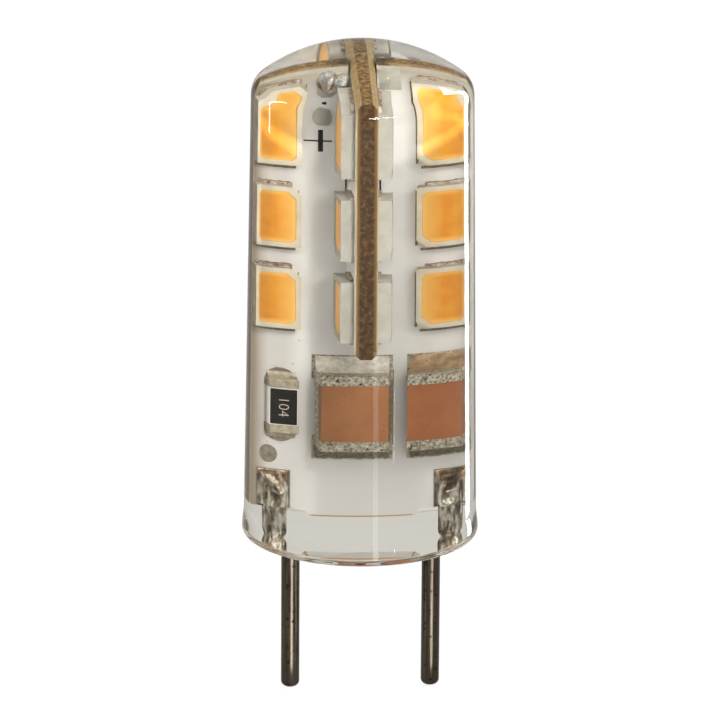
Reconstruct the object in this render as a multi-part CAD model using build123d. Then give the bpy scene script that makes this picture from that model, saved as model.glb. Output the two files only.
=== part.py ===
from build123d import *
import os
from math import cos, hypot, radians, tan

# Two-pin LED capsule bulb: two circuit boards crossed in a halving joint, set with
# surface-mount LEDs and their supply parts, and cast into one clear silicone capsule.
# Frame: origin at the centre of the base rim, +Z up the capsule's axis, and the board
# that carries the pins faces -Y. All sizes are in millimetres.

# Pins
PIN_SPACING = 8.0
PIN_DIAMETER = 1.05
PIN_REACH = 9.0  # free length below the base rim
PIN_TIP_BEVEL = 0.2
PIN_TAIL_THICK = 0.72  # the tail is pressed flat where it lies on the board
PIN_TAIL_LEDGE = 0.04  # left on the shank beside the tail
PIN_TAIL_BEVEL = 0.22
PIN_TAIL_START = 0.2  # above the base rim
PIN_TAIL_SETBACK = 0.55  # from the top of the land down to the tail's end

# Circuit boards
BOARD_THICK = 1.2
BOARD_FOOT = 1.55  # from the base rim up to the board's lowest edge
TAB_WIDTH = 4.2  # middle of the lower edge, which stands below the corners
TAB_DROP = 0.35
TAB_SLOPE = 0.35
SCORE_DEPTH = 0.3  # bevel left on an edge that was scored and snapped
SLOT_CLEARANCE = 0.08  # each side of a board in the slot of the other one
LAYOUT_SHIFT = -0.23  # the LED columns lie left of the capsule's axis
CROSS_SHIFT = -0.05  # and the cross board a little
BOARD_TOP_MARGIN = 0.75  # from the top LEDs up to the boards' top edge
LAND_THICK = 0.05  # tinned copper lands on the boards

# LEDs
LED_WIDTH = 2.8
LED_LENGTH = 3.5
LED_THICK = 0.7
LED_CHAMFER = 0.45  # polarity corner
LED_ROWS = 3
LED_PITCH = 4.75
LED_COLUMN = 3.9  # from the middle of the layout to each column on the main board
LED_EDGE = 0.1  # from the nearer column to the main board's side edge
CROSS_LED_INSET = 1.2  # from the main board's face to the LEDs on the cross board
CROSS_LED_EDGE = 0.8  # from those LEDs to the cross board's side edge
LED_FOOT_MARGIN = 0.8  # from the cross board's lower edge to the lowest LEDs
WINDOW_WIDTH = 2.3
WINDOW_LENGTH = 2.95
WINDOW_CORNER = 0.22
WINDOW_MARK_CORNER = 0.4  # at the polarity corner
WINDOW_DEPTH = 0.42
WINDOW_DRAFT = 20.0  # slope of the reflector cup's walls, in degrees
WINDOW_SINK = 0.06  # the phosphor lies this far under the housing's rim
TERMINAL_WIDTH = 2.2
TERMINAL_THICK = 0.2
TERMINAL_OUT = 0.13  # how far a terminal shows past the housing
ANODE_LENGTH = 0.7  # under the housing
CATHODE_LENGTH = 1.5

# Pin lands and their solder
PIN_LAND_WIDTH = 1.95
PIN_LAND_LENGTH = 2.25
PIN_LAND_MARGIN = 0.05  # from the board's lower corner edge
PIN_SOLDER_MARGIN = 0.06
PIN_SOLDER_UNDER = 0.06  # between the land and the tail
PIN_SOLDER_COVER = 0.14  # over the tail
PIN_SOLDER_TOE = 0.2  # height of the flatter slopes at its foot
PIN_SOLDER_TOE_SLOPE = 48.0  # from upright, in degrees
PIN_SOLDER_SLOPE = 22.0
TEST_LAND_DIAMETER = 1.05
TEST_LAND_RISE = 0.35  # clear of the pin's land
TEST_LAND_OFFSET = 0.2  # outwards of the pin

# Capacitors, side by side on the front
CAP_WIDTH = 3.2
CAP_LENGTH = 4.5
CAP_THICK = 1.8
CAP_BAND = 0.6  # plated ends
CAP_RISE = 1.6  # from the pin lands up to the capacitors
CAP_EDGE = 0.49  # from the right capacitor to the board's side edge
PART_GAP = 0.75  # between neighbouring parts in that row
CAP_SOLDER_REACH = 0.75
CAP_SOLDER_HEIGHT = 0.95
CAP_SOLDER_HOLLOW = 0.12
CAP_LAND_MARGIN = 0.08
CROSS_GAP = 0.85  # from the capacitors' solder up to the cross board

# Chip resistors, one on each face
RESISTOR_WIDTH = 1.6
RESISTOR_LENGTH = 3.2
RESISTOR_THICK = 0.6
RESISTOR_BAND = 0.5
RESISTOR_COAT_LENGTH = 2.05
RESISTOR_COAT_MARGIN = 0.1
RESISTOR_COAT_THICK = 0.07
RESISTOR_LAND_LENGTH = 4.35
RESISTOR_LAND_MARGIN = 0.08
RESISTOR_SOLDER_REACH = 0.35
RESISTOR_SOLDER_HEIGHT = 0.3
RESISTOR_SOLDER_HOLLOW = 0.04
RESISTOR_EDGE = 0.4  # least room from the front resistor to the board's side edge
PLATING = 0.05
PLATING_BEVEL = 1.3  # bevel of the plated edges, in thicknesses of the plating

# Bridge rectifier on the back
RECTIFIER_WIDTH = 4.7
RECTIFIER_LENGTH = 3.9
RECTIFIER_THICK = 1.4
RECTIFIER_STAND = 0.12
RECTIFIER_DRAFT = 8.0
LEAD_PITCH = 2.54
LEAD_WIDTH = 0.65
LEAD_THICK = 0.2
LEAD_SHOULDER = 0.45
LEAD_FOOT = 0.65
LEAD_ROOT = 0.3
LEAD_LAND_MARGIN = 0.15
RECTIFIER_OFFSET = 1.75  # right of the capsule's axis
BACK_RESISTOR_GAP = 1.2

# Solder joints between the boards
JOINT_RADIUS = 0.75
JOINT_HEIGHT = 1.1
JOINT_DROP = 1.15  # centre of the joint below the boards' top edge
JOINT_LAND_WIDTH = 1.1  # on the cross board
JOINT_PAD_WIDTH = 0.95  # rounded pad beside it on the main board
JOINT_PAD_LENGTH = 1.65
JOINT_PAD_CORNER = 0.25
JOINT_PAD_OFFSET = 1.03  # from the cross board's face to the middle of the pad
JOINT_RISE = 0.45  # of the solder over that pad
JOINT_SLOPE = 30.0
SPARE_LAND_WIDTH = 1.0
SPARE_LAND_LENGTH = 1.3
SPARE_LAND_DROP = 0.97  # centre of the spare land below the boards' top edge
SPARE_LAND_OFFSET = 0.7  # from the cross board's face to its middle

# Capsule
WALL_COVER = 0.59  # silicone over the main board's upper corners
WALL_DRAFT = 0.36  # growth of the wall's radius from the shoulder down to the base
SHOULDER_DROP = 0.64  # from the boards' top edge down to the end of the wall
SHOULDER_ROUND = 1.04
DOME_RISE = 2.8  # from the end of the wall up to the crown
LIP_FLARE = 0.09
LIP_HEIGHT = 0.9
EDGE_BEVEL = 0.2
RIM_WIDTH = 0.5
BASE_RECESS = 0.35  # hollow left by the casting's free surface inside the rim
MENISCUS_WIDTH = 1.2

# Levels, from the base up
CORNER_FOOT = BOARD_FOOT + TAB_DROP
PIN_LAND_BOTTOM = CORNER_FOOT + PIN_LAND_MARGIN
PIN_LAND_TOP = PIN_LAND_BOTTOM + PIN_LAND_LENGTH
CAP_MIDDLE = PIN_LAND_TOP + CAP_RISE + CAP_LENGTH / 2
CROSS_FOOT = CAP_MIDDLE + CAP_LENGTH / 2 + CAP_SOLDER_REACH + CROSS_GAP
LED_LOWEST = CROSS_FOOT + LED_FOOT_MARGIN + LED_LENGTH / 2
ROW_HEIGHTS = [LED_LOWEST + row * LED_PITCH for row in range(LED_ROWS)]
BOARD_TOP = ROW_HEIGHTS[-1] + LED_LENGTH / 2 + BOARD_TOP_MARGIN
LAP_LEVEL = (CROSS_FOOT + BOARD_TOP) / 2
JOINT_LEVEL = BOARD_TOP - JOINT_DROP
SHOULDER = BOARD_TOP - SHOULDER_DROP
CROWN = SHOULDER + DOME_RISE

# Widths, from the boards out to the wall
HALF_THICK = BOARD_THICK / 2
LED_SPAN = 2 * (abs(LAYOUT_SHIFT) + LED_COLUMN + LED_WIDTH / 2 + LED_EDGE)
PART_SPAN = CAP_EDGE + 2 * (CAP_WIDTH + PART_GAP) + RESISTOR_WIDTH + RESISTOR_EDGE
MAIN_HALF = max(LED_SPAN, PART_SPAN) / 2
CROSS_HALF = HALF_THICK + CROSS_LED_INSET + LED_WIDTH + CROSS_LED_EDGE
CROSS_LED_OUT = HALF_THICK + CROSS_LED_INSET + LED_WIDTH / 2
SHOULDER_RADIUS = hypot(max(MAIN_HALF, CROSS_HALF), HALF_THICK) + WALL_COVER
BASE_RADIUS = SHOULDER_RADIUS + WALL_DRAFT
LIP_RADIUS = BASE_RADIUS + LIP_FLARE
RIM_RADIUS = LIP_RADIUS - EDGE_BEVEL
PIN_DEPTH = HALF_THICK + LAND_THICK + PIN_SOLDER_UNDER + PIN_TAIL_THICK / 2
TAIL_TOP = PIN_LAND_TOP - PIN_TAIL_SETBACK
SIDES = {"left": -1, "right": 1}

# Blocks that stand in the corner between the boards
IN_CORNER = (Align.MAX, Align.MAX, Align.CENTER)

# The boards' faces, with x across the face, y up the board and z out of it
MAIN_FRONT = Plane((0, -HALF_THICK, 0), x_dir=(1, 0, 0), z_dir=(0, -1, 0))
MAIN_BACK = Plane((0, HALF_THICK, 0), x_dir=(-1, 0, 0), z_dir=(0, 1, 0))
CROSS_LEFT = Plane((CROSS_SHIFT - HALF_THICK, 0, 0), x_dir=(0, -1, 0), z_dir=(-1, 0, 0))
CROSS_RIGHT = Plane((CROSS_SHIFT + HALF_THICK, 0, 0), x_dir=(0, 1, 0), z_dir=(1, 0, 0))


def on(face, x, y, shape, turn=0, lift=0.0):
    """The shape, set on a board's face at x, y, turned about the face's normal."""
    return face.location * Location((x, y, lift), (0, 0, turn)) * shape


def slab(width, length, thick):
    """A block that stands on z = 0."""
    return extrude(Rectangle(width, length), thick)


def main_board():
    tab = TAB_WIDTH / 2
    outline = Polyline(
        (-MAIN_HALF, CORNER_FOOT),
        (-tab - TAB_SLOPE, CORNER_FOOT),
        (-tab, BOARD_FOOT),
        (tab, BOARD_FOOT),
        (tab + TAB_SLOPE, CORNER_FOOT),
        (MAIN_HALF, CORNER_FOOT),
        (MAIN_HALF, BOARD_TOP),
        (-MAIN_HALF, BOARD_TOP),
        close=True,
    )
    board = extrude(Plane.XZ * make_face(outline), HALF_THICK, both=True)
    top_edges = board.edges().filter_by(Axis.X).group_by(Axis.Z)[-1]
    board = chamfer(top_edges, SCORE_DEPTH)
    slot_height = BOARD_TOP - LAP_LEVEL
    slot = Box(BOARD_THICK + 2 * SLOT_CLEARANCE, 2 * BOARD_THICK, slot_height)
    return board - Pos(CROSS_SHIFT, 0, LAP_LEVEL + slot_height / 2) * slot


def cross_board():
    height = BOARD_TOP - CROSS_FOOT
    board = Box(BOARD_THICK, 2 * CROSS_HALF, height)
    edges = board.edges().filter_by(Axis.Y)
    board = chamfer(edges, SCORE_DEPTH)
    board = Pos(CROSS_SHIFT, 0, CROSS_FOOT + height / 2) * board
    slot_height = LAP_LEVEL - CROSS_FOOT
    slot = Box(2 * BOARD_THICK, BOARD_THICK + 2 * SLOT_CLEARANCE, slot_height)
    return board - Pos(CROSS_SHIFT, 0, CROSS_FOOT + slot_height / 2) * slot


def pin(side):
    """A round pin with a bevelled tip and a flat-sided tail."""
    shank = extrude(Circle(PIN_DIAMETER / 2), -PIN_REACH - PIN_TAIL_START)
    shank = chamfer(shank.edges().group_by(Axis.Z)[0], PIN_TIP_BEVEL)
    section = Rectangle(PIN_DIAMETER - 2 * PIN_TAIL_LEDGE, PIN_TAIL_THICK)
    section = chamfer(section.vertices(), PIN_TAIL_BEVEL)
    tail = extrude(section, TAIL_TOP - PIN_TAIL_START)
    return Pos(side * PIN_SPACING / 2, -PIN_DEPTH, PIN_TAIL_START) * (shank + tail)


def pin_land():
    return slab(PIN_LAND_WIDTH, PIN_LAND_LENGTH, LAND_THICK)


def pin_solder(side, tail):
    """Solder that climbs from the land in hollow slopes and closes over the tail."""
    top = PIN_SOLDER_UNDER + PIN_TAIL_THICK + PIN_SOLDER_COVER
    inset = PIN_SOLDER_MARGIN + PIN_SOLDER_TOE * tan(radians(PIN_SOLDER_TOE_SLOPE))
    foot = Rectangle(
        PIN_LAND_WIDTH - 2 * PIN_SOLDER_MARGIN, PIN_LAND_LENGTH - 2 * PIN_SOLDER_MARGIN
    )
    waist = Rectangle(PIN_LAND_WIDTH - 2 * inset, PIN_LAND_LENGTH - 2 * inset)
    toe = extrude(foot, PIN_SOLDER_TOE, taper=PIN_SOLDER_TOE_SLOPE)
    crest = extrude(waist, top - PIN_SOLDER_TOE, taper=PIN_SOLDER_SLOPE)
    heap = toe + Pos(0, 0, PIN_SOLDER_TOE) * crest
    middle = (PIN_LAND_BOTTOM + PIN_LAND_TOP) / 2
    return on(MAIN_FRONT, side * PIN_SPACING / 2, middle, heap, lift=LAND_THICK) - tail


def cup_corners(cup):
    """The slanted edges of a reflector cup, the one at the polarity corner last."""
    slanted = cup.edges().group_by(Axis.Z)[1]
    return slanted.sort_by(lambda edge: edge.center().X + edge.center().Y)


def led_package():
    """Housing, phosphor and the two terminals of one LED, standing on z = 0."""
    outline = Rectangle(LED_WIDTH, LED_LENGTH)
    corner = outline.vertices().sort_by(lambda v: v.X + v.Y)[-1]
    body = extrude(chamfer(corner, LED_CHAMFER), LED_THICK)
    window = Rectangle(WINDOW_WIDTH, WINDOW_LENGTH)
    cup = Pos(0, 0, LED_THICK) * extrude(window, -WINDOW_DEPTH, taper=WINDOW_DRAFT)
    cup = chamfer(cup_corners(cup)[:-1], WINDOW_CORNER)
    cup = chamfer(cup_corners(cup)[-1], WINDOW_MARK_CORNER)
    phosphor = split(cup, Plane.XY.offset(LED_THICK - WINDOW_SINK), keep=Keep.BOTTOM)
    terminals = []
    for end, under in ((1, ANODE_LENGTH), (-1, CATHODE_LENGTH)):
        length = under + TERMINAL_OUT
        middle = end * (LED_LENGTH / 2 + TERMINAL_OUT - length / 2)
        terminals.append(Pos(0, middle, 0) * slab(TERMINAL_WIDTH, length, TERMINAL_THICK))
    return body - cup - terminals, phosphor, terminals


def chip(width, length, thick, band):
    """Core and two plated ends of a chip part, standing on z = 0."""
    block = slab(width, length, thick)
    upper = [edge for edge in block.edges() if edge.center().Z > thick / 4]
    block = chamfer(upper, PLATING * PLATING_BEVEL)
    core = slab(width - 2 * PLATING, length - 2 * PLATING, thick - 2 * PLATING)
    core = Pos(0, 0, PLATING) * core
    ends = []
    for end in (-1, 1):
        reach = Pos(0, end * (length - band) / 2, 0) * slab(width, band, thick)
        ends.append((block & reach) - core)
    return core, ends


def end_solder(half_length, width, reach, height, hollow):
    """Solder that runs in a hollow slope from the end of a chip part down to its land."""
    toe = half_length + reach
    dip = hollow * cos(radians(45))
    outline = [
        Line((half_length, 0), (half_length, height)),
        ThreePointArc(
            (half_length, height),
            (half_length + reach / 2 - dip, height / 2 - dip),
            (toe, 0),
        ),
        Line((toe, 0), (half_length, 0)),
    ]
    half_width = width / 2 - PLATING * PLATING_BEVEL
    return extrude(Plane.YZ * make_face(outline), half_width, both=True)


def capacitor(x):
    """Core, plated ends, solder and lands of a capacitor on the front."""
    core, ends = chip(CAP_WIDTH, CAP_LENGTH, CAP_THICK, CAP_BAND)
    half = CAP_LENGTH / 2
    wedge = end_solder(half, CAP_WIDTH, CAP_SOLDER_REACH, CAP_SOLDER_HEIGHT, CAP_SOLDER_HOLLOW)
    land_length = CAP_BAND + CAP_SOLDER_REACH + CAP_LAND_MARGIN
    land = slab(CAP_WIDTH + 2 * CAP_LAND_MARGIN, land_length, LAND_THICK)
    land_middle = half - CAP_BAND + land_length / 2
    solder, lands = [], []
    for turn in (0, 180):
        end_face = Location((0, 0, 0), (0, 0, turn))
        solder.append(on(MAIN_FRONT, x, CAP_MIDDLE, end_face * wedge, lift=LAND_THICK))
        lands.append(on(MAIN_FRONT, x, CAP_MIDDLE, end_face * (Pos(0, land_middle) * land)))
    core = on(MAIN_FRONT, x, CAP_MIDDLE, core, lift=LAND_THICK)
    ends = [on(MAIN_FRONT, x, CAP_MIDDLE, end, lift=LAND_THICK) for end in ends]
    return core, ends, solder, lands


def resistor(face, x):
    """Ceramic, coat, plated ends, solder and lands of a chip resistor on a face."""
    body_thick = RESISTOR_THICK - RESISTOR_COAT_THICK
    core, ends = chip(RESISTOR_WIDTH, RESISTOR_LENGTH, body_thick, RESISTOR_BAND)
    coat_width = RESISTOR_WIDTH - 2 * RESISTOR_COAT_MARGIN
    coat = slab(coat_width, RESISTOR_COAT_LENGTH, RESISTOR_COAT_THICK)
    coat = Pos(0, 0, body_thick - PLATING) * coat
    outline = SlotOverall(
        RESISTOR_LAND_LENGTH, RESISTOR_WIDTH + 2 * RESISTOR_LAND_MARGIN, rotation=90
    )
    between = Rectangle(2 * RESISTOR_WIDTH, RESISTOR_LENGTH - 2 * RESISTOR_BAND)
    lands = extrude(outline - between, LAND_THICK).solids()
    wedge = end_solder(
        RESISTOR_LENGTH / 2,
        RESISTOR_WIDTH,
        RESISTOR_SOLDER_REACH,
        RESISTOR_SOLDER_HEIGHT,
        RESISTOR_SOLDER_HOLLOW,
    )
    solder = [wedge, Rot(0, 0, 180) * wedge]
    place = {"face": face, "x": x, "y": CAP_MIDDLE}
    return (
        on(shape=core, lift=LAND_THICK, **place),
        on(shape=coat, lift=LAND_THICK, **place),
        [on(shape=end, lift=LAND_THICK, **place) for end in ends],
        [on(shape=heap, lift=LAND_THICK, **place) for heap in solder],
        [on(shape=land, **place) for land in lands],
    )


def rectifier(x):
    """Moulded body, four bent leads and their lands on the back."""
    middle = RECTIFIER_STAND + RECTIFIER_THICK / 2
    outline = Rectangle(RECTIFIER_WIDTH, RECTIFIER_LENGTH)
    upper = extrude(outline, RECTIFIER_THICK / 2, taper=RECTIFIER_DRAFT)
    body = Pos(0, 0, middle) * (upper + mirror(upper, Plane.XY))
    half = RECTIFIER_LENGTH / 2
    bend = half + LEAD_SHOULDER
    profile = Polyline(
        (half - LEAD_ROOT, middle + LEAD_THICK / 2),
        (bend, middle + LEAD_THICK / 2),
        (bend, LEAD_THICK),
        (bend + LEAD_FOOT, LEAD_THICK),
        (bend + LEAD_FOOT, 0),
        (bend - LEAD_THICK, 0),
        (bend - LEAD_THICK, middle - LEAD_THICK / 2),
        (half - LEAD_ROOT, middle - LEAD_THICK / 2),
        close=True,
    )
    lead = extrude(Plane.YZ * make_face(profile), LEAD_WIDTH / 2, both=True)
    land_length = LEAD_FOOT + LEAD_THICK + 2 * LEAD_LAND_MARGIN
    land = slab(LEAD_WIDTH + 2 * LEAD_LAND_MARGIN, land_length, LAND_THICK)
    land_middle = bend + (LEAD_FOOT - LEAD_THICK) / 2
    leads, lands = [], []
    for turn in (0, 180):
        end_face = Location((0, 0, 0), (0, 0, turn))
        for across in (-LEAD_PITCH / 2, LEAD_PITCH / 2):
            leads.append(end_face * (Pos(across, 0, 0) * lead))
            lands.append(end_face * (Pos(across, land_middle, 0) * land))
    body = body - leads
    body = on(MAIN_BACK, x, CAP_MIDDLE, body, lift=LAND_THICK)
    leads = [on(MAIN_BACK, x, CAP_MIDDLE, one, lift=LAND_THICK) for one in leads]
    return body, leads, [on(MAIN_BACK, x, CAP_MIDDLE, one) for one in lands]


def joint(turn):
    """Solder in the corner between the boards, with its land on each, front left or turned."""
    corner = Pos(CROSS_SHIFT, 0, JOINT_LEVEL) * Rot(0, 0, turn)
    out = HALF_THICK + LAND_THICK
    slot_side = HALF_THICK + SLOT_CLEARANCE
    pad_middle = HALF_THICK + JOINT_PAD_OFFSET
    pad = chamfer(Rectangle(JOINT_PAD_WIDTH, JOINT_PAD_LENGTH).vertices(), JOINT_PAD_CORNER)
    pad = Pos(-pad_middle, 0) * pad
    neck = Rectangle(pad_middle - slot_side, JOINT_HEIGHT)
    neck = Pos(-(pad_middle + slot_side) / 2, 0) * neck
    on_main = MAIN_FRONT.location * extrude(pad + neck, LAND_THICK)
    upright = Box(LAND_THICK, JOINT_LAND_WIDTH, JOINT_HEIGHT, align=IN_CORNER)
    on_cross = Pos(-HALF_THICK, -slot_side, 0) * upright
    quarter = extrude(Circle(JOINT_RADIUS), JOINT_HEIGHT / 2, both=True)
    quarter = quarter & Box(JOINT_RADIUS, JOINT_RADIUS, JOINT_HEIGHT, align=IN_CORNER)
    lobe = extrude(pad, JOINT_RISE, taper=JOINT_SLOPE)
    lobe = MAIN_FRONT.location * Pos(0, 0, LAND_THICK) * lobe
    drop = Pos(-out, -out, 0) * quarter + lobe
    drop = drop - [on_main, on_cross]
    return corner * drop, corner * on_main, corner * on_cross


def capsule(inside):
    """The cast silicone, closed round everything inside it."""
    shoulder_middle = SHOULDER_RADIUS - SHOULDER_ROUND
    dome_radius = (shoulder_middle**2 + DOME_RISE**2 - SHOULDER_ROUND**2) / (
        2 * (DOME_RISE - SHOULDER_ROUND)
    )
    dome_middle = CROWN - dome_radius
    reach = SHOULDER_ROUND / hypot(shoulder_middle, SHOULDER - dome_middle)
    meeting = (
        shoulder_middle * (1 + reach),
        SHOULDER + (SHOULDER - dome_middle) * reach,
    )
    floor_radius = RIM_RADIUS - RIM_WIDTH - MENISCUS_WIDTH
    rim_inner = RIM_RADIUS - RIM_WIDTH
    wall_end = (SHOULDER_RADIUS, SHOULDER)
    outline = [
        Line((0, BASE_RECESS), (floor_radius, BASE_RECESS)),
        TangentArc((floor_radius, BASE_RECESS), (rim_inner, 0), tangent=(1, 0)),
        Line((rim_inner, 0), (RIM_RADIUS, 0)),
        Line((RIM_RADIUS, 0), (LIP_RADIUS, EDGE_BEVEL)),
        Line((LIP_RADIUS, EDGE_BEVEL), (BASE_RADIUS, LIP_HEIGHT)),
        Line((BASE_RADIUS, LIP_HEIGHT), wall_end),
        TangentArc(wall_end, meeting, tangent=(0, 1)),
        RadiusArc(meeting, (0, CROWN), -dome_radius),
        Line((0, CROWN), (0, BASE_RECESS)),
    ]
    casting = revolve(Plane.XZ * make_face(outline), Axis.Z)
    return casting - inside


# Everything inside the capsule, node by node
nodes = {"main_board": [main_board()], "cross_board": [cross_board()]}
for name, side in SIDES.items():
    nodes[f"pin_{name}"] = [pin(side)]
nodes["pin_solder"] = [pin_solder(side, nodes[f"pin_{name}"][0]) for name, side in SIDES.items()]

# LEDs, in four banks on the main board and four on the cross board
housing, phosphor, terminals = led_package()
main_columns = {"left": LAYOUT_SHIFT - LED_COLUMN, "right": LAYOUT_SHIFT + LED_COLUMN}
led_banks = [
    ("main_front", MAIN_FRONT, main_columns),
    ("main_back", MAIN_BACK, {side: -x for side, x in main_columns.items()}),
    ("cross_left", CROSS_LEFT, {"front": CROSS_LED_OUT, "back": -CROSS_LED_OUT}),
    ("cross_right", CROSS_RIGHT, {"front": -CROSS_LED_OUT, "back": CROSS_LED_OUT}),
]
for face_name, face, columns in led_banks:
    nodes[f"phosphor_{face_name}"] = []
    nodes[f"led_terminals_{face_name}"] = []
    for column, x in columns.items():
        turn = 0 if x < 0 else 180
        for row, height in enumerate(ROW_HEIGHTS, start=1):
            nodes[f"led_{face_name}_{column}_{row}"] = [on(face, x, height, housing, turn)]
            nodes[f"phosphor_{face_name}"].append(on(face, x, height, phosphor, turn))
            for terminal in terminals:
                nodes[f"led_terminals_{face_name}"].append(on(face, x, height, terminal, turn))

# Supply parts: two capacitors and a resistor in front, a rectifier and a resistor behind
cap_places = {"right": MAIN_HALF - CAP_EDGE - CAP_WIDTH / 2}
cap_places["left"] = cap_places["right"] - CAP_WIDTH - PART_GAP
nodes["capacitor_solder"] = []
nodes["front_lands"] = []
for name, x in cap_places.items():
    core, ends, solder, lands = capacitor(x)
    nodes[f"capacitor_{name}"] = [core]
    nodes[f"capacitor_{name}_ends"] = ends
    nodes["capacitor_solder"] += solder
    nodes["front_lands"] += lands
front_resistor_x = cap_places["left"] - CAP_WIDTH / 2 - PART_GAP - RESISTOR_WIDTH / 2
back_resistor_x = -RECTIFIER_OFFSET + RECTIFIER_WIDTH / 2 + BACK_RESISTOR_GAP + RESISTOR_WIDTH / 2
nodes["resistor_solder"] = []
nodes["back_lands"] = []
for name, face, x in (
    ("front", MAIN_FRONT, front_resistor_x),
    ("back", MAIN_BACK, back_resistor_x),
):
    core, coat, ends, solder, lands = resistor(face, x)
    nodes[f"{name}_resistor"] = [core]
    nodes[f"{name}_resistor_coat"] = [coat]
    nodes[f"{name}_resistor_ends"] = ends
    nodes["resistor_solder"] += solder
    nodes[f"{name}_lands"] += lands
body, leads, lands = rectifier(-RECTIFIER_OFFSET)
nodes["rectifier"] = [body]
nodes["rectifier_leads"] = leads
nodes["back_lands"] += lands

# Lands by themselves: under the pins, a test land and a spare square one
land_middle = (PIN_LAND_BOTTOM + PIN_LAND_TOP) / 2
for side in SIDES.values():
    nodes["front_lands"].append(on(MAIN_FRONT, side * PIN_SPACING / 2, land_middle, pin_land()))
test_land = extrude(Circle(TEST_LAND_DIAMETER / 2), LAND_THICK)
test_height = PIN_LAND_TOP + TEST_LAND_RISE + TEST_LAND_DIAMETER / 2
nodes["front_lands"].append(
    on(MAIN_FRONT, -PIN_SPACING / 2 - TEST_LAND_OFFSET, test_height, test_land)
)
spare_x = CROSS_SHIFT + HALF_THICK + SPARE_LAND_OFFSET
spare_land = slab(SPARE_LAND_WIDTH, SPARE_LAND_LENGTH, LAND_THICK)
spare_height = BOARD_TOP - SPARE_LAND_DROP
nodes["front_lands"].append(on(MAIN_FRONT, spare_x, spare_height, spare_land))

# Joints between the boards, at the front left and the back right corner
nodes["joint_solder"] = []
nodes["cross_lands"] = []
for turn, lands_node in ((0, "front_lands"), (180, "back_lands")):
    drop, on_main, on_cross = joint(turn)
    nodes["joint_solder"].append(drop)
    nodes[lands_node].append(on_main)
    nodes["cross_lands"].append(on_cross)

# The capsule is cast last, round all of it
inside = [shape for shapes in nodes.values() for shape in shapes]
nodes["capsule"] = [capsule(inside)]

os.makedirs("parts", exist_ok=True)
for name, shapes in nodes.items():
    solids = [solid for shape in shapes for solid in shape.solids()]
    export_step(Compound(solids), f"parts/{name}.step")
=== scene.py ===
"""Looks of the LED capsule bulb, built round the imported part. Every length is in metres."""
import math
import random

import bmesh
import bpy
from mathutils import Matrix, Vector, noise


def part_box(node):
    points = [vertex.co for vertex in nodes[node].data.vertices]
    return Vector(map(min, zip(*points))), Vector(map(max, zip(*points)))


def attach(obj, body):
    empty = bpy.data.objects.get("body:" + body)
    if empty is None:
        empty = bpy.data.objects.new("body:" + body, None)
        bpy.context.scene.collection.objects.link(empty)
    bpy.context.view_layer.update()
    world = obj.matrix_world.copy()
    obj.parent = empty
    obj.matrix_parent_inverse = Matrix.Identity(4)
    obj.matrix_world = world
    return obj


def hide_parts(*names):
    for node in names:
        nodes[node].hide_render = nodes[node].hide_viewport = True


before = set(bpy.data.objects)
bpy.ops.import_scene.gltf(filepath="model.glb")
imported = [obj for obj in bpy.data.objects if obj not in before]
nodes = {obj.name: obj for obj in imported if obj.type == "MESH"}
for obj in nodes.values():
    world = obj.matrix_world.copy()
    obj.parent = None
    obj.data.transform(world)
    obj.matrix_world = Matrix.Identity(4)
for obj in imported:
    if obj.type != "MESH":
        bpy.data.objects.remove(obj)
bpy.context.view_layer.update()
MM = 0.001
chance = random.Random(7)

# Sizes read from the frame
main_low, main_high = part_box("main_board")
cross_low, cross_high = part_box("cross_board")
capsule_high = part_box("capsule")[1]
joint_low, joint_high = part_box("joint_solder")
coat_low, coat_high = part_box("front_resistor_coat")
pin_low, pin_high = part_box("pin_left")
fillet_low, fillet_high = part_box("capacitor_solder")
right_capacitor_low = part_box("capacitor_right")[0]
left_led_low, left_led_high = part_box("led_main_front_left_1")
right_led_low, right_led_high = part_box("led_main_front_right_1")
FRONT = main_low.y
BACK = main_high.y
BOARD_HALF = (BACK - FRONT) / 2
BOARD_TOP = main_high.z
CROSS_MIDDLE = (cross_low.x + cross_high.x) / 2
CROSS_HALF = (cross_high.x - cross_low.x) / 2
LAYOUT_MIDDLE = (left_led_low.x + right_led_high.x) / 2
LED_COLUMN = (right_led_low.x - left_led_low.x) / 2
LOWEST_LED = (left_led_low.z + left_led_high.z) / 2
CROWN = capsule_high.z
LIP_RADIUS = capsule_high.x
FACES = ("main_front", "main_back", "cross_left", "cross_right")
PINS = ("pin_left", "pin_right")
LED_NAMES = [name for name in nodes if name.startswith("led_") and "terminals" not in name]

# Shape of the casting
LIP_FLARE = 0.09 * MM
LIP_HEIGHT = 0.9 * MM
WALL_DRAFT = 0.36 * MM
SHOULDER_DROP = 0.64 * MM
SHOULDER_ROUND = 1.04 * MM
SHOULDER_EASE = 1.6  # above 1, the shoulder bends gently at first
EDGE_ROUND = 0.3 * MM
RIM_RADIUS = LIP_RADIUS - 0.42 * MM
MENISCUS_WIDTH = 0.45 * MM
BASE_RECESS = 0.22 * MM
SKIN_SIDES = 192

# Pins and their lands
PIN_RADIUS = 0.525 * MM
PIN_TIP_ROUND = 0.34 * MM
PRESS_START = 0.1 * MM
PRESS_STEP = 0.1 * MM
TAIL_HALF_WIDTH = 0.66 * MM
TAIL_HALF_THICK = 0.34 * MM
TAIL_COVERED = 0.6 * MM
LAND_THICK = 0.05 * MM
PIN_LAND_WIDTH = 1.95 * MM
PIN_LAND_LOW = 1.95 * MM
PIN_LAND_HIGH = 4.2 * MM
LAND_MARGIN = 0.05 * MM

# Solder on the pins' lands
SOLDER_FILM = 0.06 * MM
SOLDER_CLIMB = 0.98 * MM
SOLDER_BESIDE = 0.62 * MM
SOLDER_ABOVE = 1.15 * MM
SOLDER_WAVE = 0.14 * MM
SOLDER_RIPPLE = 0.05 * MM
SOLDER_RIM = 0.2 * MM

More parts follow.
